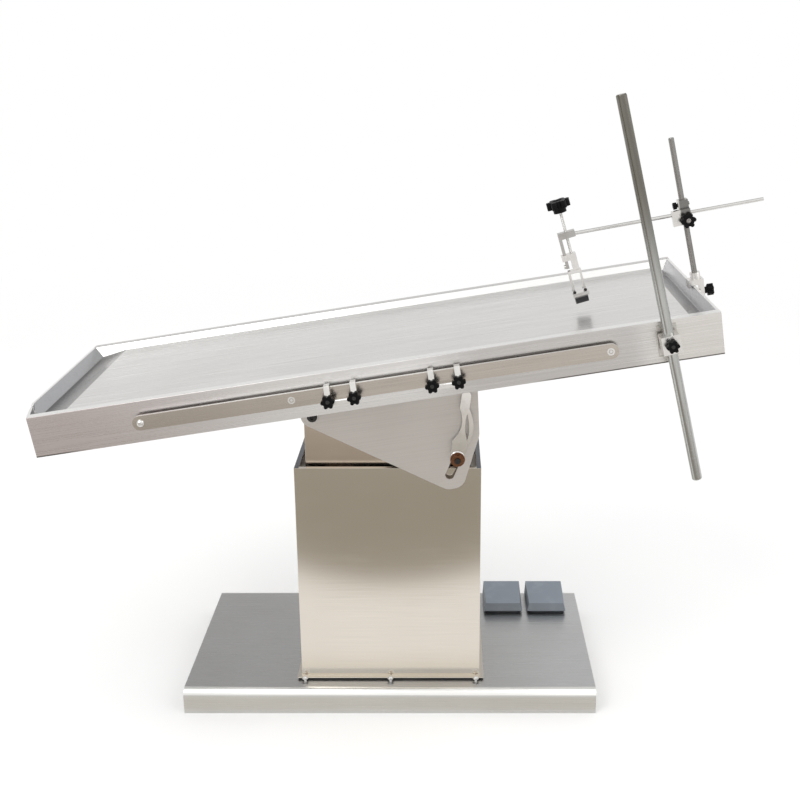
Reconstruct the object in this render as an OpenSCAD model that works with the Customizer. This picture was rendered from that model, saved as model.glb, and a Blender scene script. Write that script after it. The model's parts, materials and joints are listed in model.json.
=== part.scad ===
// Lift table for animal examination and autopsy: a stainless tray that tilts on a telescoping column.
// Millimetres. X runs along the tray to its head end, Y away from the front, Z up.
// The origin is the centre of the base plate's underside, on the floor.
// Stored pose: column lowered, tray tilted head up by tilt_rest.

/* [Base] */
// Length of the base cover along X
base_w = 880; // [860:1:1100]
// Depth of the base cover along Y
base_d = 470; // [430:1:600]
// Height of the base cover's top over the floor
base_h = 55; // [45:1:80]
// Sheet thickness of the base cover
base_sheet = 2; // [1.5:0.5:3]
// Outside radius of the cover's folded long edges
base_bend_r = 18; // [8:1:22]
// Thickness of the steel floor plate
plate_t = 12; // [8:1:20]

/* [Column] */
// Width of the fixed column cover along X
col_w = 384; // [360:1:410]
// Depth of the fixed column cover along Y
col_d = 208; // [180:1:230]
// Distance of the column's front behind the base's front edge
col_setback = 53; // [40:1:80]
// Height of the fixed cover's top rim over the floor
col_top = 540; // [500:1:600]
// Sheet thickness of both column covers
col_sheet = 2; // [1.5:0.5:3]
// Width of the rim turned in at the top of the fixed cover
col_lip = 10; // [6:1:15]
// Width of the foot flange round the fixed cover
foot_flange = 9; // [8:1:14]
// Thickness of the gasket under the foot flange
gasket_t = 4; // [2:1:6]
// Diameter of the washers that hold the foot flange down at its edge
foot_screw_d = 14; // [12:1:16]
// Distance of the foot screws' middles from the flange's edge
foot_screw_out = 3.5; // [3.5:0.5:5]
// Gap between the two column covers on each side along X
slide_gap_x = 22; // [20:1:30]
// Gap between the two column covers at front and back
slide_gap_y = 22; // [20:1:30]
// Height of the moving cover's lower end over the foot flange when lowered
inner_clear = 20; // [10:1:40]
// Travel of the lift
stroke = 300; // [200:10:300]
// Height of the moving cover's top over the tilt pivot
head_over = 34; // [28:1:44]
// Diameter of the lift's push rod
lift_rod_d = 30; // [24:1:36]
// Outside diameter of the lift's fixed tube
lift_tube_d = 56; // [50:1:66]

/* [Tray] */
// Length of the tray's straight front side
tray_l = 1300; // [1260:1:1500]
// Width of the tray
tray_w = 546; // [500:1:640]
// Height of the tray's sides
tray_h = 80; // [76:1:100]
// Sheet thickness of the tray
tray_sheet = 2; // [1.5:0.5:3]
// How far the foot end reaches past the front side
foot_reach = 24; // [12:1:36]
// Length of the slanted corner at the drain
corner_run = 105; // [80:1:140]
// Width of the flat rim along the long sides
rim_w = 22; // [16:1:30]
// Width of the rim at the two ends
end_rim_w = 5; // [4:1:8]
// Depth of the floor under the rim
basin_depth = 16; // [12:1:22]
// Depth of the end gutters under the floor
gutter_drop = 8; // [4:1:10]
// Run of the steep wall between an end rim and its gutter
gutter_wall_run = 12; // [8:1:18]
// Run of the slope from the foot gutter up to the floor
foot_slope_run = 55; // [35:1:70]
// Run of the slope from the head gutter up to the floor
head_slope_run = 28; // [20:1:50]
// Width of the drain notch
notch_w = 12; // [8:1:18]
// Side of the square tubes in the frame under the floor
frame_t = 30; // [25:1:40]
// Wall of the frame's tubes
frame_wall = 2.5; // [1.5:0.5:4]
// Reach of the under-frame from the pivot towards the foot end
frame_foot = 120; // [90:1:200]
// Reach of the under-frame from the pivot towards the head end
frame_head = 430; // [400:1:560]

/* [Tilt] */
// Tilt of the tray in the stored pose, head end up
tilt_rest = 9; // [2:1:15]
// Steepest tilt that the slot allows
tilt_max = 18; // [16:1:20]
// Distance of the pivot from the moving cover's foot side
pivot_edge = 22; // [20:1:32]
// Height of the pivot over the fixed cover's rim when lowered
pivot_rise = 117; // [108:1:140]
// Distance from the foot end of the tray's front side to the pivot
pivot_along = 503; // [460:1:560]
// Drop of the pivot under the tray's lower edge
pivot_drop = 47; // [42:1:60]
// Diameter of the pivot shaft
pivot_d = 16; // [12:1:18]
// Distance of the lock stud from the moving cover's head side
stud_edge = 27; // [22:1:40]
// Height of the lock stud over the fixed cover's rim when lowered
stud_rise = 32; // [26:1:42]
// Diameter of the lock stud
stud_d = 12; // [10:1:14]
// Width of the tilt slot
slot_w = 18; // [15:1:20]
// Outside diameter of the sleeves on shaft and stud
sleeve_d = 26; // [24:1:30]
// Thickness of the tilt plates
tilt_t = 4; // [3:0.5:6]
// Metal left round the slot in a tilt plate
slot_margin = 19; // [15:1:24]
// Radius of a tilt plate's end round the pivot
pivot_end_r = 24; // [20:1:28]
// Extra metal on a tilt plate's head side
plate_head = 6.5; // [0:0.5:12]
// Gap between the fixed cover and a tilt plate
plate_gap = 10; // [8:1:16]
// Length of the lock lever
lever_l = 142; // [110:1:150]
// Lean of the lock lever towards the head end
lever_lean = 7.5; // [0:0.5:15]

/* [Side rails] */
// Height of the rail's section
rail_h = 28; // [26:1:34]
// Thickness of the rail
rail_t = 8; // [6:1:10]
// Gap between rail and tray side
rail_gap = 10; // [8:1:16]
// Start of the rail from the foot end
rail_x0 = 200; // [140:1:220]
// Distance of the rail's head end from the tray's head end
rail_in = 193; // [170:1:240]
// Height of the rail's middle over the tray's lower edge
rail_z = 42; // [38:0.5:46]
// Distance of the first and last spacer from the rail's ends
mount_end = 15; // [14:1:40]
// Distance of the second and third spacer from the rail's ends
mount_step = 300; // [260:5:380]

/* [Tie-down clamps] */
// Middle of the first clamp along the rail
tie_a_at = 393; // [330:1:430]
// Middle of the second clamp along the rail
tie_b_at = 586; // [520:1:640]
// Distance between a clamp's two knobs
tie_pitch = 49; // [40:1:60]
// Metal past each knob's middle at a clamp's ends
tie_end = 4; // [4:1:10]
// Drop of the knobs' axes under the rail's middle
tie_drop = 7.5; // [5:0.5:9]
// Thickness of a clamp in front of the rail
tie_face = 12; // [10:1:16]
// Diameter of the clamp knobs
tie_knob_d = 26; // [20:1:34]

/* [Infusion pole] */
// Diameter of the pole
pole_d = 19; // [16:1:25]
// Wall of the pole's tube
pole_wall = 1.5; // [1:0.5:2.5]
// Distance of the pole clamp from the head end
pole_in = 102; // [80:1:112]
// Height of the clamp's middle over the tray's lower edge
pole_z = 45; // [40:1:50]
// Metal round the pole in its clamp
pole_block_wall = 7.5; // [6:0.5:10]
// Gap between pole clamp and tray side
pole_gap = 13; // [11:1:18]
// Length of the pole above the clamp's middle
pole_up = 446; // [350:1:700]
// Length of the pole below the clamp's middle
pole_down = 268; // [100:1:300]
// Lean of the pole in its clamp, towards the foot end
pole_lean = 5; // [0:0.5:10]
// Diameter of the pole clamp's knob
pole_knob_d = 24; // [20:1:30]

/* [Head holder] */
// Diameter of the upright rod
rod_d = 11; // [9:0.5:12]
// Length of the upright rod above the rim clamp
rod_up = 289; // [240:1:400]
// Lean of the upright rod towards the foot end
rod_lean = 4.3; // [0:0.1:6]
// Place of the upright rod past the head end's face
rod_out = 3.8; // [3:0.1:5]
// Place of the upright rod across the tray
rod_y = -30; // [-120:1:120]
// Width of the rim clamp
rim_clamp_w = 26; // [22:1:36]
// Height of the cross rod's axis along the upright
cross_z = 141; // [134:1:180]
// Diameter of the cross rod
cross_d = 7; // [6:0.5:8]
// Reach of the cross rod towards the foot end
cross_in = 229; // [150:1:400]
// Reach of the cross rod past the upright
cross_out = 154; // [80:1:260]
// Rise of the cross rod towards the head end
cross_rise = 1.4; // [1:0.1:3]
// Lean of the head press towards the foot end
press_lean = 7.5; // [4:0.1:9]
// Diameter of the press screw
press_d = 6; // [5:0.5:7]
// Diameter of the press knob
press_knob_d = 46; // [36:1:56]

/* [Foot switches] */
// Width of a foot switch
pedal_w = 92; // [76:1:94]
// Depth of a foot switch
pedal_d = 110; // [90:1:120]
// Height of a foot switch at its front edge
pedal_front_h = 25; // [20:1:28]
// Height of a foot switch at its back edge
pedal_back_h = 33; // [30:1:40]
// Distance of the foot switches from the base's back edge
pedal_setback = 14; // [10:1:24]
// Gap between the foot flange and the first foot switch
pedal_clear = 10; // [6:1:14]
// Gap between the two foot switches
pedal_gap = 12; // [4:1:14]

/* [Clearances] */
// Radial clearance of a turning or sliding fit
fit = 0.05; // [0.02:0.01:0.09]
// Gap between faces of pieces that move past each other
play = 0.3; // [0.2:0.1:0.5]

/* [Hidden] */
$fn = 48;
e = 1;
col_y = -base_d / 2 + col_setback + col_d / 2;
col_low = base_h + gasket_t;
foot_shank_d = 6;
inner_w = col_w - 2 * slide_gap_x;
inner_d = col_d - 2 * slide_gap_y;
inner_low = col_low + inner_clear;
pivot_x = -inner_w / 2 + pivot_edge;
pivot_z = col_top + pivot_rise;
inner_top = pivot_z + head_over;
stud_x = inner_w / 2 - stud_edge;
stud_z = col_top + stud_rise;
slot_r = norm([stud_x - pivot_x, pivot_z - stud_z]);
stud_angle = atan2(pivot_z - stud_z, stud_x - pivot_x);
plate_y = col_d / 2 + plate_gap;
plate_front = plate_y + tilt_t;
collar_l = 6;
lever_y = plate_front + play;
boss_l = 20;
nut_l = 10;
lever_half = 15;
cheek_t = 8;
well_w = 230;
well_d = 130;
pad_h = 40;
front = -tray_w / 2;
floor_z = tray_h - basin_depth;
gutter_z = floor_z - gutter_drop;
under_z = floor_z - tray_sheet;
foot_in = -foot_reach + end_rim_w;
head_in = tray_l - end_rim_w;
rail_y = front - rail_gap - rail_t;
rail_x1 = tray_l - rail_in;
rail_l = rail_x1 - rail_x0;
mount_x = [rail_x0 + mount_end, rail_x0 + mount_step, rail_x1 - mount_step, rail_x1 - mount_end];
tie_a_x = rail_x0 + tie_a_at;
tie_b_x = rail_x0 + tie_b_at;
tie_hook = 5;
tie_post_w = 11;
tie_half = rail_h / 2 + tie_hook;
stem_d = 6;
stem_in = 10;
knob_gap = 3;
pole_x = tray_l - pole_in;
pole_block = pole_d + 2 * pole_block_wall;
pole_y = front - pole_gap - pole_block / 2;
swivel_d = 12;
swivel_in = 5;
rod_foot = 7;
cross_y = -(rod_d + cross_d) / 2 - 3.3;
pedal_y = base_d / 2 - pedal_setback - pedal_d;
pedal_a_x = col_w / 2 + foot_flange + pedal_clear + pedal_w / 2;
pedal_b_x = pedal_a_x + pedal_w + pedal_gap;
pin_y = pedal_y + pedal_d - 12;
pin_z = base_h + 16;
pin_d = 6;
press_up = 30;
collar_top = -8 - press_up;
collar_low = collar_top - 12;
leg_x = -14;
leg_t = 6;
leg_w = 12;
stop_d = 8;
leg_low = collar_low - 2 * stop_d;
bracket_d = leg_w + 6;
GREY = [0.78, 0.78, 0.77];
BLACK = [0.06, 0.06, 0.06];

// Frames of reference

// Tray frame: X from the foot end of the front side, Y from the tray's middle, Z from its lower edge
module tray_space() translate([pivot_x, col_y, pivot_z]) rotate([0, -tilt_rest, 0])
  translate([-pivot_along, 0, pivot_drop]) children();

// Pole frame: Z along the pole, origin at the middle of its clamp
module pole_space() tray_space() translate([pole_x, pole_y, pole_z]) rotate([0, -pole_lean, 0]) children();
// Rod frame: Z along the head holder's upright, origin just over the tray's rim
module rod_space() tray_space() translate([tray_l + rod_out, rod_y, tray_h + rod_foot])
  rotate([0, -rod_lean, 0]) children();
// Cross frame: X along the cross rod, origin where it passes the upright
module cross_space() rod_space() translate([0, cross_y, cross_z])
  rotate([0, rod_lean - cross_rise, 0]) children();
// Press frame: Z along the press screw, origin in the yoke block on the cross rod's end
module press_space() cross_space() translate([-cross_in - 7, 0, 0])
  rotate([0, cross_rise - press_lean, 0]) children();

// Shapes that repeat

module block(x0, x1, y0, y1, z0, z1) translate([x0, y0, z0]) cube([x1 - x0, y1 - y0, z1 - z0]);
// Rod along +Y between two places
module rod_y_axis(d, y0, y1) translate([0, y0, 0]) rotate([-90, 0, 0]) cylinder(d = d, h = y1 - y0);
// Star knob on +Z: hub under a six-lobed head with a dished top, bored for its stud
module star_knob(d, head, hub, bore_d, bore_l) difference() {
  union() {
    translate([0, 0, hub]) linear_extrude(head) union() {
      circle(d = d * 0.74);
      for (i = [0 : 5]) rotate(i * 60) translate([d * 0.36, 0]) circle(d = d * 0.28);
    }
    cylinder(d = d * 0.56, h = hub + e);
  }
  translate([0, 0, hub + head - 1.5]) cylinder(d = d * 0.4, h = 3);
  translate([0, 0, -e]) cylinder(d = bore_d, h = bore_l + e);
}
// Sheet box open at both ends, with square corners
module sheet_tube(w, d, t, z0, z1) difference() {
  block(-w / 2, w / 2, -d / 2, d / 2, z0, z1);
  block(-w / 2 + t, w / 2 - t, -d / 2 + t, d / 2 - t, z0 - e, z1 + e);
}

// Base

module base_plate() color("dimgray")
  block(-base_w / 2 + base_sheet, base_w / 2 - base_sheet, -base_d / 2 + base_sheet, base_d / 2 - base_sheet,
    0, plate_t);

// Side profile of the cover's long folds
module base_section(w, h, r) {
  translate([-w / 2, 0]) square([w, h - r]);
  translate([-w / 2 + r, 0]) square([w - 2 * r, h]);
  for (s = [-1, 1]) translate([s * (w / 2 - r), h - r]) circle(r = r);
}

module base_cover() color(GREY) difference() {
  translate([-base_w / 2, 0, 0]) rotate([90, 0, 90]) linear_extrude(base_w)
    base_section(base_d, base_h, base_bend_r);
  translate([-base_w / 2 + base_sheet, 0, -e]) rotate([90, 0, 90]) linear_extrude(base_w - 2 * base_sheet)
    base_section(base_d - 2 * base_sheet, base_h - base_sheet + e, base_bend_r - base_sheet);
  translate([0, col_y, base_h]) block(-well_w / 2, well_w / 2, -well_d / 2, well_d / 2, -base_sheet - e, e);
}

// Column

module column_cover() color(GREY) translate([0, col_y, 0]) {
  sheet_tube(col_w, col_d, col_sheet, col_low, col_top);
  sheet_tube(col_w, col_d, col_lip, col_top - col_sheet, col_top);
  sheet_tube(col_w + 2 * foot_flange, col_d + 2 * foot_flange, foot_flange + col_sheet,
    col_low, col_low + col_sheet);
}

module column_gasket() color("black") translate([0, col_y, 0])
  sheet_tube(col_w + 2 * foot_flange - 4, col_d + 2 * foot_flange - 4, foot_flange, base_h, col_low);

// Screws beside the foot flange, three at the front and three at the back, whose washers hold its edge down
module column_screws() color("silver") for (s = [-1, 1], x = [-col_w / 2 + 8, 0, col_w / 2 - 8])
  translate([x, col_y + s * (col_d / 2 + foot_flange + foot_screw_out), base_h]) {
    cylinder(d = foot_shank_d, h = gasket_t + col_sheet + 1);
    translate([0, 0, gasket_t + col_sheet]) cylinder(d = foot_screw_d, h = 1.5);
    translate([0, 0, gasket_t + col_sheet + 1.5]) cylinder(d1 = foot_screw_d - 4, d2 = foot_screw_d - 8, h = 3.5);
  }

// Plastic pads that guide the moving cover inside the fixed one
module guide_pads() color("white") translate([0, col_y, 0])
  for (z = [inner_low + stroke + 5, col_top - 60], turn = [0, 180]) rotate(turn) {
    for (x = [-1, 1]) translate([x * inner_w * 0.3, 0, z])
      block(-25, 25, inner_d / 2 + play, col_d / 2 - col_sheet, 0, pad_h);
    block(inner_w / 2 + play, col_w / 2 - col_sheet, -pad_h, pad_h, z, z + pad_h);
  }

// Electric lift: foot, motor case and the fixed tube that the push rod leaves at the top
module lift_actuator() color("gray") translate([0, col_y, 0]) difference() {
  union() {
    translate([0, 0, plate_t]) cylinder(d = lift_tube_d + 40, h = 16);
    block(-45, 45, -45, 45, plate_t + 16, plate_t + 76);
    translate([0, 0, plate_t + 76]) cylinder(d = lift_tube_d, h = col_top - 40 - plate_t - 76);
    block(40, 70, -16, 16, plate_t + 24, plate_t + 70);
    translate([70, 0, plate_t + 20]) cylinder(d = 44, h = 150);
  }
  translate([0, 0, plate_t + 60]) cylinder(d = lift_rod_d + 6, h = col_top - 60 - plate_t - 60);
  translate([0, 0, col_top - 61]) cylinder(d = lift_rod_d + 2 * fit, h = 60);
}

module lift_rod() color("silver") translate([0, col_y, 0]) {
  translate([0, 0, inner_low]) cylinder(d = lift_rod_d, h = inner_top - col_sheet - inner_low);
  translate([0, 0, inner_low]) cylinder(d = lift_rod_d + 5, h = 20);
}

module column_inner() color([0.62, 0.6, 0.56]) translate([0, col_y, 0]) difference() {
  block(-inner_w / 2, inner_w / 2, -inner_d / 2, inner_d / 2, inner_low, inner_top);
  block(-inner_w / 2 + col_sheet, inner_w / 2 - col_sheet, -inner_d / 2 + col_sheet, inner_d / 2 - col_sheet,
    inner_low - e, inner_top - col_sheet);
  translate([pivot_x, 0, pivot_z]) rod_y_axis(pivot_d, -col_d, col_d);
  translate([stud_x, 0, stud_z]) rod_y_axis(stud_d, -col_d, col_d);
}

// Steel saddle inside the top of the moving cover: two cheeks bored for the shaft and the stud
module head_bracket() color("gray") translate([0, col_y, 0]) difference() {
  roof = inner_top - col_sheet;
  side = inner_w / 2 - col_sheet - 1;
  face = inner_d / 2 - col_sheet;
  union() {
    for (turn = [0, 1]) mirror([0, turn, 0]) translate([0, face, 0])
      rotate([90, 0, 0]) linear_extrude(cheek_t)
      polygon([[-side, pivot_z - 30], [-side, roof], [side, roof], [side, stud_z - 24],
        [stud_x - 30, stud_z - 24], [stud_x - 90, pivot_z - 30]]);
    block(-side, side, -face + cheek_t - e, face - cheek_t + e, roof - 10, roof);
  }
  translate([pivot_x, 0, pivot_z]) rod_y_axis(pivot_d, -col_d, col_d);
  translate([stud_x, 0, stud_z]) rod_y_axis(stud_d, -col_d, col_d);
  translate([0, 0, roof - 20]) cylinder(d = lift_rod_d, h = 40);
}

// Through shaft that both tilt plates hang on, with sleeves and end collars
module pivot_shaft() color("silver") translate([pivot_x, col_y, pivot_z]) difference() {
  union() {
    rod_y_axis(pivot_d, -plate_front - collar_l - play, plate_front + collar_l + play);
    for (turn = [0, 1]) mirror([0, turn, 0]) {
      rod_y_axis(sleeve_d, inner_d / 2, plate_y - play);
      rod_y_axis(sleeve_d, plate_front + play, plate_front + play + collar_l);
    }
  }
  for (turn = [0, 1]) mirror([0, turn, 0]) rod_y_axis(8, plate_front + 3, plate_front + 20);
}

// Through stud in the slots: sleeves behind the plates, plain nut at the back, lever thread at the front
module lock_stud() color("silver") translate([stud_x, col_y, stud_z]) {
  rod_y_axis(stud_d, -lever_y - boss_l - nut_l - 3, plate_front + play + 14);
  for (turn = [0, 1]) mirror([0, turn, 0]) rod_y_axis(sleeve_d, inner_d / 2, plate_y - play);
  translate([0, plate_front + play, 0]) rotate([-90, 0, 0]) cylinder(d = sleeve_d, h = 9, $fn = 6);
}

// Tray

// Plan of the tray, drawn in by an amount
module tray_plan(inset) {
  polygon([[inset * 0.9, front + inset], [tray_l - inset, front + inset], [tray_l - inset, -front - inset],
    [-foot_reach + inset, -front - inset], [-foot_reach + inset, front + corner_run]]);
}

module tray_pan() color(GREY) tray_space() difference() {
  linear_extrude(tray_h) tray_plan(0);
  intersection() {
    translate([0, 0, gutter_z - e]) linear_extrude(tray_h) tray_plan(end_rim_w);
    translate([0, -front - rim_w, 0]) rotate([90, 0, 0]) linear_extrude(tray_w - 2 * rim_w) basin_side();
  }
  intersection() {
    translate([0, 0, -e]) linear_extrude(tray_h) tray_plan(tray_sheet);
    translate([0, -front - tray_sheet, 0]) rotate([90, 0, 0])
      linear_extrude(tray_w - 2 * tray_sheet) under_side();
  }
  for (turn = [0, 1]) mirror([0, turn, 0])
    block(tray_sheet + 2, tray_l - tray_sheet, front + tray_sheet, front + rim_w - tray_sheet,
      -e, tray_h - tray_sheet);
  translate([-foot_reach / 2, front + corner_run * 0.75, gutter_z + tray_sheet]) rotate(14)
    block(-foot_reach, 14, -notch_w / 2, notch_w / 2, 0, tray_h);
}

// Side view of the basin: steep end walls, a gutter at each end and the flat floor
module basin_side() polygon([[foot_in, tray_h + e], [head_in, tray_h + e], [head_in, tray_h],
  [head_in - gutter_wall_run, gutter_z], [head_in - gutter_wall_run - 2, gutter_z],
  [head_in - gutter_wall_run - head_slope_run, floor_z],
  [foot_in + gutter_wall_run + foot_slope_run, floor_z],
  [foot_in + gutter_wall_run + 2, gutter_z], [foot_in + gutter_wall_run, gutter_z], [foot_in, tray_h]]);

// Side view of the hollow under the tray
module under_side() polygon([[-foot_reach, -e], [tray_l, -e], [tray_l, gutter_z - tray_sheet],
  [head_in - gutter_wall_run - 3, gutter_z - tray_sheet],
  [head_in - gutter_wall_run - head_slope_run - 1, under_z],
  [foot_in + gutter_wall_run + foot_slope_run + 1, under_z],
  [foot_in + gutter_wall_run + 3, gutter_z - tray_sheet], [-foot_reach, gutter_z - tray_sheet]]);

// Welded frame of square tube under the tray floor
module tray_frame() color("gray") tray_space() {
  x0 = pivot_along - frame_foot;
  x1 = pivot_along + frame_head;
  cross_h = frame_t * 0.7;
  for (turn = [0, 1]) mirror([0, turn, 0]) difference() {
    block(x0, x1, plate_front, plate_front + frame_t, under_z - frame_t, under_z);
    block(x0 - e, x1 + e, plate_front + frame_wall, plate_front + frame_t - frame_wall,
      under_z - frame_t + frame_wall, under_z - frame_wall);
  }
  // The middle cross tube ends at the tilt plates, the outer two at the side tubes
  for (bar = [[x0, plate_front], [(x0 + x1 - frame_t) / 2, plate_y], [x1 - frame_t, plate_front]])
    translate([bar[0], 0, under_z]) difference() {
      block(0, frame_t, -bar[1], bar[1], -cross_h, 0);
      block(frame_wall, frame_t - frame_wall, -bar[1] - e, bar[1] + e, -cross_h + frame_wall, -frame_wall);
    }
}

// Outline of a tilt plate in the tray frame, seen from the front, pivot at the origin
module tilt_outline() difference() {
  hull() {
    circle(r = pivot_end_r);
    for (a = [stud_angle, stud_angle + tilt_max], x = [0, plate_head]) translate([x, 0]) rotate(-a)
      translate([slot_r, 0]) circle(r = slot_w / 2 + slot_margin);
    translate([-pivot_end_r, under_z + pivot_drop - 1]) square(1);
    translate([slot_r + slot_w + slot_margin + plate_head, under_z + pivot_drop - 1]) square(1);
  }
  circle(d = pivot_d + 2 * fit);
  tilt_slot();
}

// Arc slot round the pivot; the lock stud meets its ends at the limits of the tilt
module tilt_slot() {
  spare = ((slot_w - stud_d) / 2 - play) / slot_r * 180 / PI;
  high = stud_angle + spare;
  low = stud_angle + tilt_max - spare;
  intersection() {
    difference() {
      circle(r = slot_r + slot_w / 2, $fn = 96);
      circle(r = slot_r - slot_w / 2, $fn = 96);
    }
    polygon([[0, 0], for (a = [high, low]) [2 * slot_r * cos(a), -2 * slot_r * sin(a)]]);
  }
  for (a = [high, low]) rotate(-a) translate([slot_r, 0]) circle(d = slot_w - 2 * fit);
}

module tilt_plate(s) color([0.72, 0.72, 0.71]) tray_space() translate([pivot_along, 0, -pivot_drop])
  mirror([0, s, 0]) translate([0, -plate_y, 0]) rotate([90, 0, 0]) linear_extrude(tilt_t) tilt_outline();
module tilt_plate_front() tilt_plate(0);
module tilt_plate_back() tilt_plate(1);

// Side rail with round ends, outside the tray's long side
module rail(turn) color("silver") tray_space() mirror([0, turn, 0]) difference() {
  translate([0, rail_y + rail_t, rail_z]) rotate([90, 0, 0]) linear_extrude(rail_t) {
    translate([rail_x0 + rail_h / 2, -rail_h / 2]) square([rail_l - rail_h, rail_h]);
    for (x = [rail_x0 + rail_h / 2, rail_x1 - rail_h / 2]) translate([x, 0]) circle(d = rail_h);
  }
  for (x = mount_x) translate([x, rail_y, rail_z]) rail_screw(0);
}

// Countersunk screw along +Y from the rail's face, made smaller by a clearance
module rail_screw(less) rotate([-90, 0, 0]) {
  translate([0, 0, less]) cylinder(d1 = 14 - 2 * less, d2 = 8 - 2 * less, h = 3);
  translate([0, 0, less]) cylinder(d = 8 - 2 * less, h = rail_t + e);
}

module rail_front() rail(0);
module rail_back() rail(1);

// Spacers between rails and tray, with the screw heads in front
module rail_mounts() color("silver") tray_space() for (turn = [0, 1], x = mount_x) mirror([0, turn, 0])
  translate([x, 0, rail_z]) {
    rod_y_axis(14, rail_y + rail_t, front);
    translate([0, rail_y, 0]) rail_screw(fit);
  }

// Lever

module lock_lever() color("silver") translate([stud_x, col_y - lever_y, stud_z]) rotate([90, 0, 0])
  rotate(-lever_lean) difference() {
    union() {
      cylinder(d = 2 * lever_half, h = boss_l);
      translate([0, 0, 6]) linear_extrude(9) lever_outline();
    }
    translate([0, 0, -e]) cylinder(d = stud_d + 2 * fit, h = boss_l + 2 * e);
  }

// Curve from one point to another that is drawn towards a third
function bow(p, q, to) = [for (t = [0 : 0.1 : 1]) pow(1 - t, 2) * p + 2 * t * (1 - t) * to + t * t * q];

// Lever seen from the front: wide foot, grip swelled towards the head side, straight head with a round tip.
// The grip's lens-shaped opening stands upright.
module lever_outline() difference() {
  k = lever_l / 142;
  tip = 9.5;
  union() {
    circle(r = lever_half);
    polygon(concat([[-lever_half, 0], [lever_half, 0]],
      bow([lever_half, 30 * k], [tip, 106 * k], [34, 68 * k]),
      bow([-tip, 106 * k], [-lever_half, 34 * k], [10, 69 * k])));
    translate([-tip, 105 * k]) square([2 * tip, lever_l - tip - 105 * k]);
    translate([0, lever_l - tip]) circle(r = tip);
  }
  translate([10.3, 68 * k]) rotate(lever_lean)
    intersection_for (s = [-1, 1]) translate([s * 97.8, 0]) circle(r = 101.8, $fn = 180);
}

module lock_nut() color("peru") translate([stud_x, col_y - lever_y - boss_l - play, stud_z])
  rotate([90, 0, 0]) difference() {
    union() {
      cylinder(d = 2 * lever_half, h = 2);
      cylinder(d = sleeve_d, h = nut_l, $fn = 6);
    }
    translate([0, 0, -e]) cylinder(d = stud_d, h = nut_l + 2 * e);
  }

// Tie-down clamps

// Side view of a clamp, front to the left: a hook round the rail's lower edge
module tie_low() polygon([[-tie_face, -tie_half], [rail_t + 4, -tie_half], [rail_t + 4, -tie_half + 2 * tie_hook],
  [rail_t + play, -tie_half + 2 * tie_hook], [rail_t + play, -rail_h / 2 - play], [-play, -rail_h / 2 - play],
  [-play, -tie_drop - 1], [-tie_face + 2, -tie_drop - 1], [-tie_face, -tie_drop - 3]]);
// Side view of a post: it stands in front of the rail, leans back and hooks over the upper edge
module tie_post() polygon([[-tie_face, -tie_half], [-play, -tie_half], [-play, rail_h / 2 + play],
  [rail_t + play, rail_h / 2 + play], [rail_t + play, tie_half - 2 * tie_hook], [rail_t + 4, tie_half - 2 * tie_hook],
  [rail_t + 4, tie_half - 2], [rail_t + 2, tie_half], [-tie_face / 2, tie_half], [-tie_face / 2 - 1, tie_half - 3],
  [-tie_face, -tie_drop + 8]]);

// Clamp on the rail: a low block with a post behind each knob, open between the posts
module tie_clamp(x) color("silver") tray_space() translate([x, rail_y, rail_z]) difference() {
  l = tie_pitch / 2 + tie_end;
  union() {
    translate([-l, 0, 0]) rotate([90, 0, 90]) linear_extrude(2 * l) tie_low();
    for (s = [-1, 1]) translate([s * tie_pitch / 2 - tie_post_w / 2, 0, 0])
      rotate([90, 0, 90]) linear_extrude(tie_post_w) tie_post();
  }
  for (s = [-1, 1]) translate([s * tie_pitch / 2, 0, -tie_drop])
    rod_y_axis(stem_d + 2 * fit, -tie_face - e, 2);
}

module tie_clamp_a() tie_clamp(tie_a_x);
module tie_clamp_b() tie_clamp(tie_b_x);

// Knob in front of a tie-down clamp, and its stud that presses on the rail
module tie_knob(x) color(BLACK) tray_space() translate([x, rail_y - tie_face - play, rail_z - tie_drop])
  rotate([90, 0, 0]) star_knob(tie_knob_d, 11, knob_gap, stem_d, stem_in);
module tie_stud(x) color("silver") tray_space() translate([x, 0, rail_z - tie_drop])
  rod_y_axis(stem_d, rail_y - tie_face - play - stem_in, rail_y - play);

module tie_knob_a1() tie_knob(tie_a_x - tie_pitch / 2);
module tie_stud_a1() tie_stud(tie_a_x - tie_pitch / 2);
module tie_knob_a2() tie_knob(tie_a_x + tie_pitch / 2);
module tie_stud_a2() tie_stud(tie_a_x + tie_pitch / 2);
module tie_knob_b1() tie_knob(tie_b_x - tie_pitch / 2);
module tie_stud_b1() tie_stud(tie_b_x - tie_pitch / 2);
module tie_knob_b2() tie_knob(tie_b_x + tie_pitch / 2);
module tie_stud_b2() tie_stud(tie_b_x + tie_pitch / 2);

// Infusion pole

// Plate screwed to the tray's side, with the round boss that the clamp swivels on
module pole_bracket() color("silver") tray_space() translate([pole_x, 0, pole_z]) {
  block(-18, 18, front - 4, front, -31, 28);
  rod_y_axis(swivel_d, pole_y + pole_block / 2 - swivel_in, front - 3);
  for (z = [-25, 22]) translate([0, 0, z]) rod_y_axis(9, front - 6, front - 3);
}

module pole_clamp() color("silver") pole_space() difference() {
  block(-pole_block / 2, pole_block / 2, -pole_block / 2, pole_block / 2, -pole_block / 2, pole_block / 2);
  translate([0, 0, -pole_block]) cylinder(d = pole_d + 2 * fit, h = 2 * pole_block);
  rod_y_axis(stem_d + 2 * fit, -pole_block, 0);
  rod_y_axis(swivel_d + 2 * fit, pole_block / 2 - swivel_in - play, pole_block);
}

module iv_pole() color("silver") pole_space() translate([0, 0, -pole_down]) difference() {
  cylinder(d = pole_d, h = pole_up + pole_down);
  translate([0, 0, -e]) cylinder(d = pole_d - 2 * pole_wall, h = pole_up + pole_down + 2 * e);
}

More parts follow.
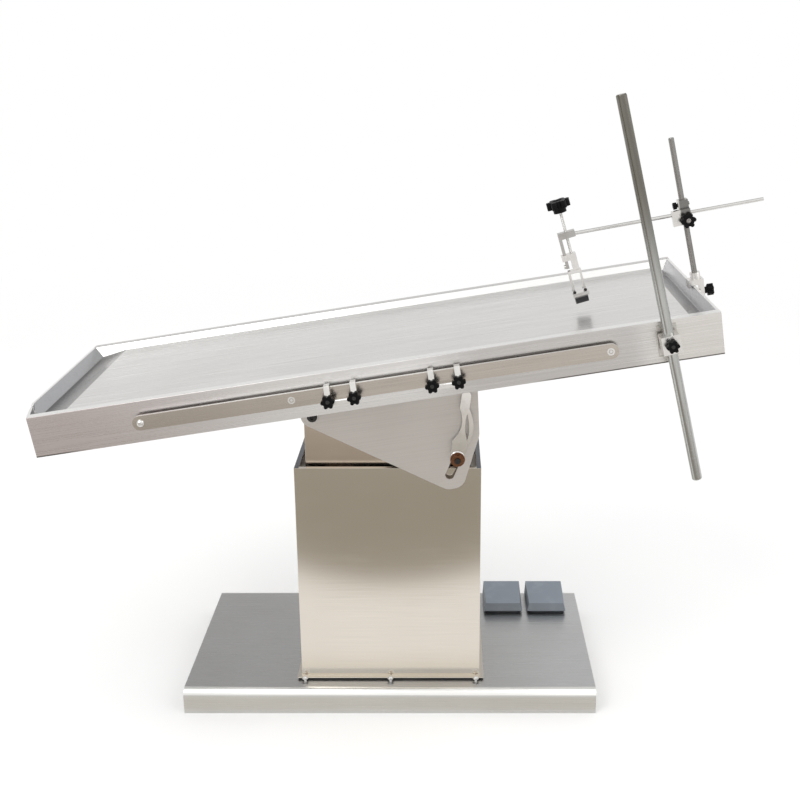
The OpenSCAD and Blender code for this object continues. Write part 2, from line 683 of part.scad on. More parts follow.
module pole_caps() color("silver") pole_space()
  for (end = [[pole_up, 0], [-pole_down, 180]]) translate([0, 0, end[0]]) rotate([end[1], 0, 0]) {
    cylinder(d1 = pole_d, d2 = pole_d - 3, h = 2);
    translate([0, 0, -10]) cylinder(d = pole_d - 2 * pole_wall - 2 * fit, h = 10 + e);
  }

module pole_knob() color(BLACK) pole_space() translate([0, -pole_block / 2 - play, 0])
  rotate([90, 0, 0]) star_knob(pole_knob_d, 12, knob_gap, stem_d, stem_in);

module pole_stud() color("silver") pole_space()
  rod_y_axis(stem_d, -pole_block / 2 - play - stem_in, -pole_d / 2 - play);

// Head holder

// Clamp over the rim of the head end, with the socket of the upright on top
module rim_clamp() color("silver") difference() {
  union() {
    tray_space() translate([tray_l, rod_y, 0]) {
      block(-14, 17, -rim_clamp_w / 2, rim_clamp_w / 2, tray_h + play, tray_h + 12);
      block(9, 17, -rim_clamp_w / 2, rim_clamp_w / 2, tray_h - 30, tray_h + 12);
      block(-14, -9, -rim_clamp_w / 2, rim_clamp_w / 2, tray_h - 4, tray_h + 12);
    }
    rod_space() translate([0, 0, 2]) cylinder(d = 20, h = 16);
  }
  rod_space() cylinder(d = rod_d + 2 * fit, h = 40);
  tray_space() translate([tray_l, rod_y, tray_h - 15]) rotate([0, 90, 0]) cylinder(d = 8 + 2 * fit, h = 30);
}

module rim_screw() color("silver") tray_space() translate([tray_l + play, rod_y, tray_h - 15])
  rotate([0, 90, 0]) { cylinder(d = 8, h = 30); cylinder(d = 14, h = 4); }
module rim_knob() color(BLACK) tray_space() translate([tray_l + 17 + play, rod_y, tray_h - 15])
  rotate([0, 90, 0]) star_knob(24, 12, 7, 8, 13);

module stand_rod() color("gray") rod_space() {
  translate([0, 0, play]) cylinder(d = rod_d, h = rod_up - 1.5 - play);
  translate([0, 0, rod_up - 1.5]) cylinder(d1 = rod_d, d2 = rod_d - 2, h = 1.5);
}

// Casting that grips the upright and carries the cross rod in front of it
module cross_clamp() color("silver") rod_space() difference() {
  union() {
    block(-10, 10, -10, 10, cross_z - 21, cross_z + 26);
    block(-27, 10, cross_y - 7, -8, cross_z - 21, cross_z + 9);
    translate([9, 0, cross_z + 16]) rotate([0, 90, 0]) cylinder(d = 7, h = 4);
  }
  translate([0, 0, cross_z - 40]) cylinder(d = rod_d + 2 * fit, h = 90);
  translate([0, cross_y, cross_z]) rotate([0, 90 + rod_lean - cross_rise, 0]) translate([0, 0, -60])
    cylinder(d = cross_d + 2 * fit, h = 120);
  translate([1, 0, cross_z - 12.5]) rod_y_axis(stem_d + 2 * fit, -40, 0);
  translate([-12, 0, cross_z + 16]) rotate([0, 90, 0]) cylinder(d = 5 + 2 * fit, h = 10);
}

module cross_knob() color(BLACK) rod_space() translate([1, cross_y - 7 - play, cross_z - 12.5])
  rotate([90, 0, 0]) star_knob(30, 12, knob_gap, stem_d, stem_in);
module cross_stud() color("silver") rod_space() translate([1, 0, cross_z - 12.5])
  rod_y_axis(stem_d, cross_y - 7 - play - stem_in, -rod_d / 2 - play);
module collar_knob() color(BLACK) rod_space() translate([-10 - play, 0, cross_z + 16])
  rotate([0, -90, 0]) star_knob(14, 7, 2, 5, 6);
module collar_stud() color("silver") rod_space() translate([-10 - play - 6, 0, cross_z + 16])
  rotate([0, 90, 0]) cylinder(d = 5, h = 16 - rod_d / 2);

module head_rod() color("silver") cross_space() rotate([0, 90, 0]) translate([0, 0, -cross_in])
  cylinder(d = cross_d, h = cross_in + cross_out);

// Yoke on the cross rod's end: nut block for the screw, guide leg and its stop screw
module head_yoke() color("silver") difference() {
  press_space() union() {
    block(-17, 17, -8, 8, -6.5, 6.5);
    block(leg_x - leg_t / 2, leg_x + leg_t / 2, -leg_w / 2, leg_w / 2, leg_low, -6);
    translate([leg_x - leg_t / 2 - 3.5, 0, leg_low + stop_d / 2]) rotate([0, 90, 0])
      cylinder(d = stop_d, h = 4.5);
  }
  press_space() translate([0, 0, -20]) cylinder(d = press_d + 2 * fit, h = 40);
  cross_space() rotate([0, 90, 0]) translate([0, 0, -cross_in]) cylinder(d = cross_d, h = 40);
}

// Bracket moved by the screw: collar on the guide leg, neck, two side plates and foot bar.
// The leg runs down in a channel through the collar and the outer side plate.
module press_bracket() color("gainsboro") press_space() difference() {
  union() {
    block(-21, 8, -bracket_d / 2, bracket_d / 2, collar_low, collar_top);
    block(-5, 8, -5, 5, -74, collar_top);
    block(leg_x - 2, 10, -bracket_d / 2, bracket_d / 2, -78, -72);
    block(leg_x - 2, leg_x + 2, -bracket_d / 2, bracket_d / 2, -120, -76);
    block(6, 10, -5, 5, -120, -76);
    block(-18, 14, -bracket_d / 2, bracket_d / 2, -127, -119);
    for (x = [leg_x, 8]) translate([x, 0, -115]) rod_y_axis(6, -bracket_d / 2 - 2, bracket_d / 2 + 2);
  }
  block(leg_x - leg_t / 2 - play, leg_x + leg_t / 2 + play, -leg_w / 2 - play, leg_w / 2 + play,
    leg_low - press_up - 2, collar_top + 2);
  translate([0, 0, collar_low - 2]) cylinder(d = press_d + 2 * fit, h = 20);
}

module press_pad() color(BLACK) press_space() difference() {
  translate([-3, 0, -127]) rotate([0, 90, 0]) translate([0, 0, -13]) cylinder(d = 28, h = 26);
  block(-40, 40, -40, 40, -127, -90);
}

module press_screw() color("silver") press_space() translate([0, 0, collar_low - 1])
  cylinder(d = press_d, h = 60 + 1 - collar_low);
module press_knob() color(BLACK) press_space() translate([0, 0, 46])
  star_knob(press_knob_d, 15, 9, press_d, 14);

// Foot switches

// Fixed part of a foot switch: floor tray, ears with the hinge pin and the switch tower
module pedal_base(x) color([0.2, 0.21, 0.23]) translate([x, 0, 0]) {
  block(-pedal_w / 2 + 8, pedal_w / 2 - 8, pedal_y + 8, pedal_y + pedal_d - 5, base_h, base_h + 4);
  for (s = [-1, 1]) translate([s * (pedal_w / 2 - 12), 0, 0])
    block(-3, 3, pin_y - 6, pin_y + 6, base_h, pin_z + 5);
  translate([-pedal_w / 2 + 2, pin_y, pin_z]) rotate([0, 90, 0]) cylinder(d = pin_d, h = pedal_w - 4);
  block(-10, 10, pedal_y + 40, pedal_y + 60, base_h, base_h + 12);
}
module pedal_base_a() pedal_base(pedal_a_x);
module pedal_base_b() pedal_base(pedal_b_x);

// Moving cover of a foot switch: a hollow wedge with flared sides on the hinge pin
module pedal_wedge(w, y0, y1, h0, h1, low) hull() {
  block(-w / 2, w / 2, y0, y0 + 1, base_h + low, base_h + low + 1);
  block(-w / 2, w / 2, y1 - 1, y1, base_h + 1.5, base_h + 2.5);
  block(-w / 2 + 5, w / 2 - 5, y0 + 5, y0 + 6, base_h + h0 - 1, base_h + h0);
  block(-w / 2 + 2, w / 2 - 2, y1 - 3, y1 - 2, base_h + h1 - 1, base_h + h1);
}
module pedal(x) color([0.52, 0.56, 0.62]) translate([x, 0, 0]) difference() {
  pedal_wedge(pedal_w, pedal_y, pedal_y + pedal_d, pedal_front_h, pedal_back_h, 6.5);
  translate([0, 0, -3])
    pedal_wedge(pedal_w - 6, pedal_y + 3, pedal_y + pedal_d - 3, pedal_front_h, pedal_back_h, 0);
  translate([-pedal_w, pin_y, pin_z]) rotate([0, 90, 0]) cylinder(d = pin_d + 2 * fit, h = 2 * pedal_w);
}
module pedal_a() pedal(pedal_a_x);
module pedal_b() pedal(pedal_b_x);

base_plate();
base_cover();
column_cover();
column_gasket();
column_screws();
guide_pads();
lift_actuator();
pedal_base_a();
pedal_base_b();
column_inner();
head_bracket();
lift_rod();
pivot_shaft();
lock_stud();
tray_pan();
tray_frame();
tilt_plate_front();
tilt_plate_back();
rail_front();
rail_back();
rail_mounts();
pole_bracket();
lock_lever();
lock_nut();
tie_clamp_a();
tie_knob_a1();
tie_stud_a1();
tie_knob_a2();
tie_stud_a2();
tie_clamp_b();
tie_knob_b1();
tie_stud_b1();
tie_knob_b2();
tie_stud_b2();
pole_clamp();
iv_pole();
pole_caps();
pole_knob();
pole_stud();
rim_clamp();
rim_knob();
rim_screw();
stand_rod();
cross_clamp();
cross_knob();
cross_stud();
collar_knob();
collar_stud();
head_rod();
head_yoke();
press_bracket();
press_pad();
press_screw();
press_knob();
pedal_a();
pedal_b();
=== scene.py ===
"""Looks of the tilting steel table: materials, small fittings, studio light and camera."""
import json
import math

import bmesh
import bpy
from mathutils import Matrix, Vector


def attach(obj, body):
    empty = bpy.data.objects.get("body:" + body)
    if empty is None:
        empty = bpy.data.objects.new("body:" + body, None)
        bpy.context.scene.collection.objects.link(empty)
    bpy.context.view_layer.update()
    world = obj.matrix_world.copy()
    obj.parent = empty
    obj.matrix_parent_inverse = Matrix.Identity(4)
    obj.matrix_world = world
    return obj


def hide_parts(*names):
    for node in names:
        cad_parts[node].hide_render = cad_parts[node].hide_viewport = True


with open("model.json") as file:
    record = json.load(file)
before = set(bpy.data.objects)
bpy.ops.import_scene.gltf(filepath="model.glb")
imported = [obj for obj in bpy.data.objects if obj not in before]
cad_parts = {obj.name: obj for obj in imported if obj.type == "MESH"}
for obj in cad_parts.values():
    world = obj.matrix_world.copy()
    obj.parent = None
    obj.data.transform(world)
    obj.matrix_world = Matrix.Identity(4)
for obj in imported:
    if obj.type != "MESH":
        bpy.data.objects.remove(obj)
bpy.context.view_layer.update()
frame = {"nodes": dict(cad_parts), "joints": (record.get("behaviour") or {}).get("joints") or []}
NODES = frame["nodes"]
JOINTS = {joint["name"]: joint for joint in frame["joints"]}

# Places shared with the model, in metres

PIVOT = Vector(JOINTS["tilt"]["pos_m"])
SHAFT_END = 0.1243
TILT = math.radians(9)
TRAY_START = (-0.503, 0, 0.047)
TRAY = Matrix.Translation(PIVOT) @ Matrix.Rotation(-TILT, 4, "Y") @ Matrix.Translation(TRAY_START)
TRAY_W = 0.546
RAIL_FACE = TRAY_W / 2 + 0.018
RAIL_Z = 0.042
RAIL_SCREWS = (0.215, 0.500, 0.807, 1.092)
SIDES = (("front", -1), ("back", 1))


def linear(r, g, b):
    """A colour given as 0 to 255 screen values, in linear light."""
    def one(v):
        v /= 255
        return v / 12.92 if v <= 0.04045 else ((v + 0.055) / 1.055) ** 2.4
    return (one(r), one(g), one(b), 1.0)


class Graph:
    """Short names for building a node tree."""

    def __init__(self, tree):
        self.tree = tree
        tree.nodes.clear()

    def node(self, kind, inputs=None, **settings):
        """A node with its settings and inputs, which are sockets to link or constants."""
        made = self.tree.nodes.new(kind)
        for key, value in settings.items():
            setattr(made, key, value)
        for key, value in (inputs or {}).items():
            if isinstance(value, bpy.types.NodeSocket):
                self.tree.links.new(value, made.inputs[key])
            else:
                made.inputs[key].default_value = value
        return made

    def math(self, operation, a, b=0.0):
        return self.node("ShaderNodeMath", {0: a, 1: b}, operation=operation).outputs[0]

    def times(self, product, *factors):
        for factor in factors:
            product = self.math("MULTIPLY", product, factor)
        return product

    def larger(self, a, b):
        return self.math("MAXIMUM", a, b)

    def size(self, value):
        """The value without its sign."""
        return self.math("ABSOLUTE", value)

    def span(self, value, start, full, out_start=0.0, out_full=1.0):
        """A smooth step from out_start to out_full while the value goes from start to full."""
        inputs = {"Value": value, "From Min": start, "From Max": full}
        inputs.update({"To Min": out_start, "To Max": out_full})
        return self.node("ShaderNodeMapRange", inputs, interpolation_type="SMOOTHSTEP").outputs[0]

    def mix(self, factor, a, b, blend="MIX"):
        inputs = {0: factor, 6: a, 7: b}
        return self.node("ShaderNodeMix", inputs, data_type="RGBA", blend_type=blend).outputs[2]

    def noise(self, vector, stretch, scale, detail=3.0):
        placed = self.node("ShaderNodeMapping", {"Vector": vector, "Scale": stretch}).outputs[0]
        inputs = {"Vector": placed, "Scale": scale, "Detail": detail}
        return self.node("ShaderNodeTexNoise", inputs).outputs["Fac"]

    def coord(self, name):
        return self.node("ShaderNodeTexCoord").outputs[name]

    def parts(self, vector):
        """The X, Y and Z of a vector."""
        return self.node("ShaderNodeSeparateXYZ", {0: vector}).outputs

    def glow(self, colour):
        return self.node("ShaderNodeEmission", {"Color": colour, "Strength": 1.0}).outputs[0]

    def blend(self, factor, a, b):
        """A mix of two shaders."""
        return self.node("ShaderNodeMixShader", {0: factor, 1: a, 2: b}).outputs[0]

    def surface(self, shader):
        self.node("ShaderNodeOutputMaterial", {"Surface": shader})


def new_material(name):
    made = bpy.data.materials.new(name)
    made.use_nodes = True
    return made, Graph(made.node_tree)


# Depth of the surfaces' relief, in metres

STEEL_DEPTH = 0.0002
MOULD_DEPTH = 0.0003


def finish_shader(g, colour, roughness, metallic, bump, strength, depth, lean=None, **constants):
    """The shader of a surface, with its relief and with constants on its own sockets."""
    relief = {"Height": bump, "Strength": strength, "Distance": depth}
    if lean is not None:
        relief["Normal"] = lean
    inputs = {"Base Color": colour, "Roughness": roughness, "Metallic": metallic}
    inputs["Normal"] = g.node("ShaderNodeBump", relief).outputs[0]
    shader = g.node("ShaderNodeBsdfPrincipled", inputs)
    for key, value in constants.items():
        shader.inputs[key.replace("_", " ")].default_value = value
    g.surface(shader.outputs[0])


def row_coords(g):
    """Position and normal in the axes of the whole part."""
    coord = g.node("ShaderNodeTexCoord").outputs
    return coord["Object"], coord["Normal"]


def tray_coords(g):
    """Position and normal in the tray's own axes."""
    place, facing = row_coords(g)
    turn = (0.0, -TILT, 0.0)
    moved = {"Vector": place, "Location": TRAY.translation, "Rotation": turn}
    turned = {"Vector": facing, "Rotation": turn}
    place = g.node("ShaderNodeMapping", moved, vector_type="TEXTURE").outputs[0]
    facing = g.node("ShaderNodeMapping", turned, vector_type="TEXTURE").outputs[0]
    return place, facing


# Kinds of surface

EVEN = (1, 1, 1)
GRAIN_SHADE = (0.36, 0.35, 0.33, 1)
CLOUD_SHADE = (0.55, 0.52, 0.47, 1)
WORN_SHADE = (0.45, 0.42, 0.38, 1)


def brushed(name, tint, coords=row_coords, grain=(6, 900, 900), rough=(0.24, 0.38), strength=0.06,
            paint=None, slope=None, depth=0.16, patchy=0.08, clouded=0.12):
    """Brushed stainless sheet: fine lines, faint cloudiness and handling marks.

    A paint changes the tint and a slope the normal, each by the surface's place and facing.
    """
    made, g = new_material(name)
    place, facing = coords(g)
    lines = g.noise(place, grain, 1.0, 4.0)
    cloud = g.noise(place, EVEN, 5.0)
    smear = g.noise(place, (2, 9, 9), 7.0, 2.0)
    colour = tint if paint is None else paint(g, place, facing, tint)
    colour = g.mix(g.span(lines, 0.3, 0.7, 0.0, depth), colour, GRAIN_SHADE, "MULTIPLY")
    colour = g.mix(g.span(cloud, 0.35, 0.75, 0.0, clouded), colour, CLOUD_SHADE, "MULTIPLY")
    roughness = g.math("ADD", g.span(lines, 0.3, 0.7, *rough), g.span(smear, 0.5, 0.8, 0.0, patchy))
    lean = None if slope is None else slope(g, place, facing)
    finish_shader(g, colour, roughness, 1.0, lines, strength, STEEL_DEPTH, lean)
    return made


def polished(name, tint, rough=0.12, vary=0.14):
    """Turned or ground bright steel with faint scratches."""
    made, g = new_material(name)
    place, _ = row_coords(g)
    marks = g.noise(place, EVEN, 260.0, 4.0)
    worn = g.noise(place, EVEN, 40.0)
    colour = g.mix(g.span(worn, 0.4, 0.8, 0.0, 0.22), tint, WORN_SHADE, "MULTIPLY")
    roughness = g.span(marks, 0.3, 0.7, rough, rough + vary)
    finish_shader(g, colour, roughness, 1.0, marks, vary * 0.2, STEEL_DEPTH)
    return made


def moulded(name, tint, rough, grain_size, strength, sheen=0.0, specular=0.5):
    """Moulded plastic or rubber with a fine grain and rubbed patches."""
    made, g = new_material(name)
    place, _ = row_coords(g)
    grain = g.noise(place, EVEN, grain_size)
    rubbed = g.noise(place, EVEN, 30.0, 2.0)
    lighter = tuple(min(1.0, c * 1.5 + 0.003) for c in tint[:3]) + (1,)
    colour = g.mix(g.span(rubbed, 0.5, 0.8, 0.0, 0.35), tint, lighter)
    roughness = g.span(rubbed, 0.4, 0.8, rough, max(0.05, rough - 0.12))
    finish_shader(g, colour, roughness, 0.0, grain, strength, MOULD_DEPTH, Sheen_Weight=sheen,
                  Specular_IOR_Level=specular)
    return made


def pedal_plastic():
    """Grey-blue moulded cover with paler, rubbed patches, and top faces painted lighter than its sides as
    painted light.
    """
    made, g = new_material("pedal_cover")
    place, facing = row_coords(g)
    grain = g.noise(place, EVEN, 900.0, 2.0)
    rubbed = g.noise(place, EVEN, 28.0)
    # Painted light: faces that look up are painted lighter than the side faces
    colour = g.mix(g.span(g.parts(facing)[2], 0.5, 0.95), linear(124, 131, 139), linear(132, 141, 152))
    colour = g.mix(g.span(rubbed, 0.5, 0.8, 0.0, 0.3), colour, linear(158, 166, 176))
    finish_shader(g, colour, g.span(rubbed, 0.4, 0.8, 0.55, 0.42), 0.0, grain, 0.12, MOULD_DEPTH)
    return made


# Zones of the paints, by place or by normal: a colour fades in from the first number to the second

LEVEL_NORMAL = (0.5, 0.9)
SIDE_NORMAL = (0.5, 0.8)
END_NORMAL = (0.3, 0.7)
RAIL_EDGE_NORMAL = (0.4, 0.8)
BASE_TOP_NORMAL = (0.95, 0.99)
BASE_BEND_NORMAL = (0.15, 0.45)
BASE_BEND_END_NORMAL = (0.99, 0.95)
BASE_HEAD_X = (0.10, 0.35)
COLUMN_MIDDLE_X = (-0.01, 0.01)
COLUMN_LIP_X = (0.1818, 0.1826)
COLUMN_TOP_Z = (0.40, 0.50)
CROSS_ROD_X = (1.2820, 1.2855)
POLE_Z = (0.10, 0.34)
FOOT_TO_HEAD_X = (0.6, 0.7)
FOOT_GUTTER_X = (0.0495, 0.0470)
HEAD_GUTTER_X = (1.2535, 1.2560)
RIM_Y = (0.2484, 0.2500)
OUTER_Y = (0.260, 0.264)
GUTTER_Z = (0.0655, 0.0645)
WALL_Z = (0.050, 0.055)
RIM_Z = (0.0785, 0.0795)
# Painted shade and painted light on the tray's outer long sides
SHADE_FOOT_X = (0.55, 0.05)
SHADE_HEAD_X = (0.72, 0.86)
SHADE_HEAD_END_X = (1.20, 1.12)
PALE_END_X = (1.14, 1.20)
# Painted shadow along the outer sides' lower edges
SHADOW_EDGE_HEAD_X = (0.94, 1.00)
SHADOW_EDGE_FOOT_X = (0.12, 0.04)
SHADOW_EDGE_Z = (0.0032, 0.0020)


def sideways(g, facing):
    """One on faces that look to the front or the back."""
    return g.span(g.size(g.parts(facing)[1]), *SIDE_NORMAL)


def outer_sides(g, place, facing):
    """One on the outer faces of the tray's long sides."""
    return g.times(sideways(g, facing), g.span(g.size(g.parts(place)[1]), *OUTER_Y))


def tray_rims(g, place, facing):
    """One on the tray's inner long walls and flat rims, zero elsewhere."""
    inner = g.math("SUBTRACT", 1.0, outer_sides(g, place, facing))
    return g.times(g.span(g.size(g.parts(place)[1]), *RIM_Y), inner)


def tray_paint(g, place, facing, tint):
    """The tray's end walls and gutters are painted a darker grey than its floor as painted shade, its rims
    and long walls painted brighter as a painted highlight.
    """
    px, py, pz = g.parts(place)
    nx, _, nz = g.parts(facing)
    level = g.span(nz, *LEVEL_NORMAL)
    # Painted shade on the end walls' inner faces, darker at the foot end
    inward = g.span(g.times(nx, g.span(px, *FOOT_TO_HEAD_X, 1.0, -1.0)), *END_NORMAL)
    wall = g.mix(g.span(px, *FOOT_TO_HEAD_X), linear(172, 173, 176), linear(190, 190, 193))
    colour = g.mix(g.times(inward, g.span(pz, *WALL_Z)), tint, wall)
    # Painted shade in the gutters
    gutters = g.larger(g.span(px, *FOOT_GUTTER_X), g.span(px, *HEAD_GUTTER_X))
    low = g.times(level, g.span(pz, *GUTTER_Z))
    colour = g.mix(g.times(gutters, low), colour, linear(161, 160, 160))
    # Painted highlight on the rims' tops and the inner long walls, less bright on the back rim's top
    top = g.times(level, g.span(pz, *RIM_Z))
    colour = g.mix(g.larger(top, tray_rims(g, place, facing)), colour, linear(250, 250, 249))
    colour = g.mix(g.times(top, g.span(py, *RIM_Y)), colour, linear(214, 213, 212))
    return apron_paint(g, place, facing, colour)


def apron_paint(g, place, facing, colour):
    """The long sides' outer faces carry painted shade towards their ends and a painted light band near the
    head end, with a painted shadow along their lower edges towards both ends.
    """
    px, _, pz = g.parts(place)
    outer = outer_sides(g, place, facing)
    # Painted shade towards both ends, painted light near the head end
    foot = g.times(outer, g.span(px, *SHADE_FOOT_X))
    head = g.times(outer, g.span(px, *SHADE_HEAD_X), g.span(px, *SHADE_HEAD_END_X))
    colour = g.mix(foot, colour, linear(208, 199, 198))
    colour = g.mix(head, colour, linear(206, 203, 201))
    colour = g.mix(g.times(outer, g.span(px, *PALE_END_X)), colour, linear(225, 222, 218))
    # Painted shadow along the lower edges towards both ends
    ends = g.larger(g.span(px, *SHADOW_EDGE_HEAD_X), g.span(px, *SHADOW_EDGE_FOOT_X))
    return g.mix(g.times(outer, g.span(pz, *SHADOW_EDGE_Z), ends), colour, linear(105, 100, 96))


def tray_lean(g, place, facing):
    """The inner long walls lean outward a little, as pressed sheet does."""
    amount = g.times(tray_rims(g, place, facing), sideways(g, facing), 0.7)
    rise = g.node("ShaderNodeCombineXYZ", {2: amount}).outputs[0]
    normal = g.node("ShaderNodeNewGeometry").outputs["Normal"]
    total = g.node("ShaderNodeVectorMath", {0: normal, 1: rise}, operation="ADD").outputs[0]
    return g.node("ShaderNodeVectorMath", {0: total}, operation="NORMALIZE").outputs[0]


def rail_paint(g, place, facing, tint):
    """The rail's upper edge is painted brighter than its face, as a painted highlight."""
    return g.mix(g.span(g.parts(facing)[2], *RAIL_EDGE_NORMAL), tint, linear(252, 250, 246))


def base_paint(g, place, facing, tint):
    """The base's bends are painted brighter than its faces as a painted highlight, and its top is painted
    greyer as painted shade, most of all at the foot end.
    """
    nz = g.parts(facing)[2]
    top = g.mix(g.span(g.parts(place)[0], *BASE_HEAD_X), linear(199, 199, 199), linear(216, 217, 218))
    colour = g.mix(g.span(nz, *BASE_TOP_NORMAL), tint, top)
    bend = g.times(g.span(nz, *BASE_BEND_NORMAL), g.span(nz, *BASE_BEND_END_NORMAL))
    return g.mix(bend, colour, linear(253, 253, 251))


def column_paint(g, place, facing, tint):
    """The lips and the inside of the column's two narrow walls are painted dark in the column's upper part,
    as painted shade.
    """
    px, _, pz = g.parts(place)
    nx, _, nz = g.parts(facing)
    lip = g.times(g.span(nz, *LEVEL_NORMAL), g.span(g.size(px), *COLUMN_LIP_X))
    inside = g.span(g.times(nx, g.span(px, *COLUMN_MIDDLE_X, 1.0, -1.0)), *LEVEL_NORMAL)
    dark = g.times(g.larger(lip, inside), g.span(pz, *COLUMN_TOP_Z))
    return g.mix(dark, tint, linear(84, 86, 94))


def cross_paint(g, place, facing, tint):
    """The cross clamp is painted dark round the upright as painted shade, and keeps its bright tint where the
    cross rod passes.
    """
    return g.mix(g.span(g.parts(place)[0], *CROSS_ROD_X), tint, linear(132, 131, 129))


def pole_paint(g, place, facing, tint):
    """The pole is painted darker towards its upper end, as painted shade."""
    return g.mix(g.span(g.parts(place)[2], *POLE_Z), tint, linear(124, 122, 114))


# Materials

sheet = brushed("steel_sheet", linear(206, 203, 198))
tray_sheet = brushed("steel_tray", linear(233, 232, 231), tray_coords, (5, 800, 800), (0.24, 0.36), 0.05,
                     paint=tray_paint, slope=tray_lean, depth=0.07, patchy=0.03, clouded=0.06)
column_sheet = brushed("steel_column", linear(226, 219, 208), row_coords, (6, 6, 900), (0.13, 0.19), 0.02,
                       paint=column_paint, depth=0.06, patchy=0.02, clouded=0.05)
inner_sheet = brushed("steel_inner", linear(216, 203, 190), row_coords, (6, 6, 900), (0.16, 0.22), 0.02,
                      depth=0.06, patchy=0.02, clouded=0.05)
base_sheet = brushed("steel_base", linear(206, 205, 202), rough=(0.26, 0.38), paint=base_paint, depth=0.12,
                     patchy=0.05)
plate_sheet = brushed("steel_plate", linear(214, 209, 205), tray_coords, (5, 5, 700), (0.40, 0.50),
                      depth=0.06)
rail_steel = brushed("steel_rail", linear(192, 184, 175), tray_coords, (5, 900, 900), (0.18, 0.28),
                     paint=rail_paint, depth=0.08)
tube_steel = brushed("steel_tube", linear(193, 194, 192), tray_coords, (900, 900, 5), (0.16, 0.26),
                     paint=pole_paint)
cross_cast = brushed("steel_cross", linear(226, 224, 221), tray_coords, (60, 60, 60), (0.20, 0.26), 0.02,
                     paint=cross_paint, depth=0.05)
rod_steel = polished("steel_rod", linear(150, 148, 145), 0.20)
flush_steel = polished("steel_flush", linear(190, 183, 174), 0.22, 0.05)
bright = polished("steel_bright", linear(222, 221, 219))
cast = polished("steel_cast", linear(226, 224, 221), 0.22, 0.04)
# The yoke takes the clamps' cast steel in a darker copy, as painted shade
cast_grey = polished("steel_yoke", linear(182, 180, 177), 0.22, 0.04)
forged = polished("steel_lever", linear(247, 246, 244), 0.10, 0.05)
brass = polished("nut_brass", linear(128, 90, 66), 0.20)
painted = moulded("frame_paint", linear(150, 151, 152), 0.45, 500.0, 0.10)
black = moulded("knob_black", linear(5, 5, 6), 0.50, 700.0, 0.05, specular=0.15)
rubber = moulded("rubber_black", linear(26, 26, 27), 0.75, 450.0, 0.25, sheen=0.2)
nylon = moulded("guide_nylon", linear(232, 231, 226), 0.5, 400.0, 0.05)
burnt = moulded("bolt_black", linear(28, 27, 27), 0.32, 600.0, 0.05)
pedal_cover = pedal_plastic()
pedal_dark = moulded("pedal_base", linear(52, 55, 61), 0.6, 600.0, 0.12)

LOOKS = {
    base_sheet: ["base_cover"],
    column_sheet: ["column_cover"],
    inner_sheet: ["column_inner"],
    tray_sheet: ["tray_pan"],
    plate_sheet: ["tilt_plate_front", "tilt_plate_back"],
    rail_steel: ["rail_front", "rail_back"],
    tube_steel: ["iv_pole", "pole_caps"],
    rod_steel: ["stand_rod"],
    sheet: ["pole_bracket", "lift_rod"],
    bright: ["pivot_shaft", "rail_mounts", "column_screws", "tie_stud_a1", "tie_stud_a2", "tie_stud_b1",
             "tie_stud_b2", "pole_stud", "rim_screw", "cross_stud", "collar_stud", "head_rod", "press_screw"],
    cast: ["tie_clamp_a", "tie_clamp_b", "pole_clamp", "rim_clamp", "press_bracket"],
    cast_grey: ["head_yoke"],
    cross_cast: ["cross_clamp"],
    forged: ["lock_lever"],
    brass: ["lock_nut"],
    burnt: ["lock_stud"],
    painted: ["base_plate", "tray_frame", "head_bracket", "lift_actuator"],
    black: ["tie_knob_a1", "tie_knob_a2", "tie_knob_b1", "tie_knob_b2", "pole_knob", "rim_knob", "cross_knob",
            "collar_knob", "press_knob"],
    rubber: ["column_gasket", "press_pad"],
    nylon: ["guide_pads"],
    pedal_cover: ["pedal_a", "pedal_b"],
    pedal_dark: ["pedal_base_a", "pedal_base_b"],
}
for look, names in LOOKS.items():
    for name in names:
        node = NODES[name]
        if not node.material_slots:
            node.data.materials.append(look)
        for slot in node.material_slots:
            slot.material = look

# Rounded edges that catch the light, by their width in metres

WELD_GAP = 0.00001
EDGE_ANGLE = math.radians(40)
EDGES = {
    0.0006: ["base_cover", "column_cover", "lock_nut"],
    0.0008: ["column_inner", "press_bracket", "pole_bracket"],
    0.0009: ["tray_pan"],
    0.0010: ["tie_clamp_a", "tie_clamp_b", "head_yoke", "press_pad"],
    0.0012: ["lock_lever", "rim_clamp", "cross_clamp", *LOOKS[black]],
    0.0014: ["tilt_plate_front", "tilt_plate_back"],
    0.0015: ["pole_clamp", "pedal_a", "pedal_b", "tray_frame"],
}
for width, names in EDGES.items():
    for name in names:
        weld = NODES[name].modifiers.new("join", "WELD")
        weld.merge_threshold = WELD_GAP
        edge = NODES[name].modifiers.new("edge", "BEVEL")
        edge.width = width
        edge.segments = 2
        edge.limit_method = "ANGLE"
        edge.angle_limit = EDGE_ANGLE
        edge.harden_normals = True

# Small fittings that the solids leave out: a head is its radius, height and socket radius

RAIL_DOME = (0.0075, 0.0048, 0.0024)
RAIL_FLUSH = (0.0062, 0.0002, 0.0030)
PIN_HEAD = (0.0034, 0.0010, 0.0014)
PIN_X = (-0.014, 0.008)
PIN_Y = 0.0110
PIN_Z = -0.115
DOME_ARC = (0.0, 0.3, 0.6, 0.85, 1.05)
SPLIT_ANGLE = math.radians(35)
INSERT_SUNK = 0.0015
INSERT_SHARE = 0.30


def aimed(place, normal):
    """A frame at a place whose +Z points along a normal."""
    turn = Vector((0, 0, 1)).rotation_difference(Vector(normal))
    return Matrix.Translation(Vector(place)) @ turn.to_matrix().to_4x4()


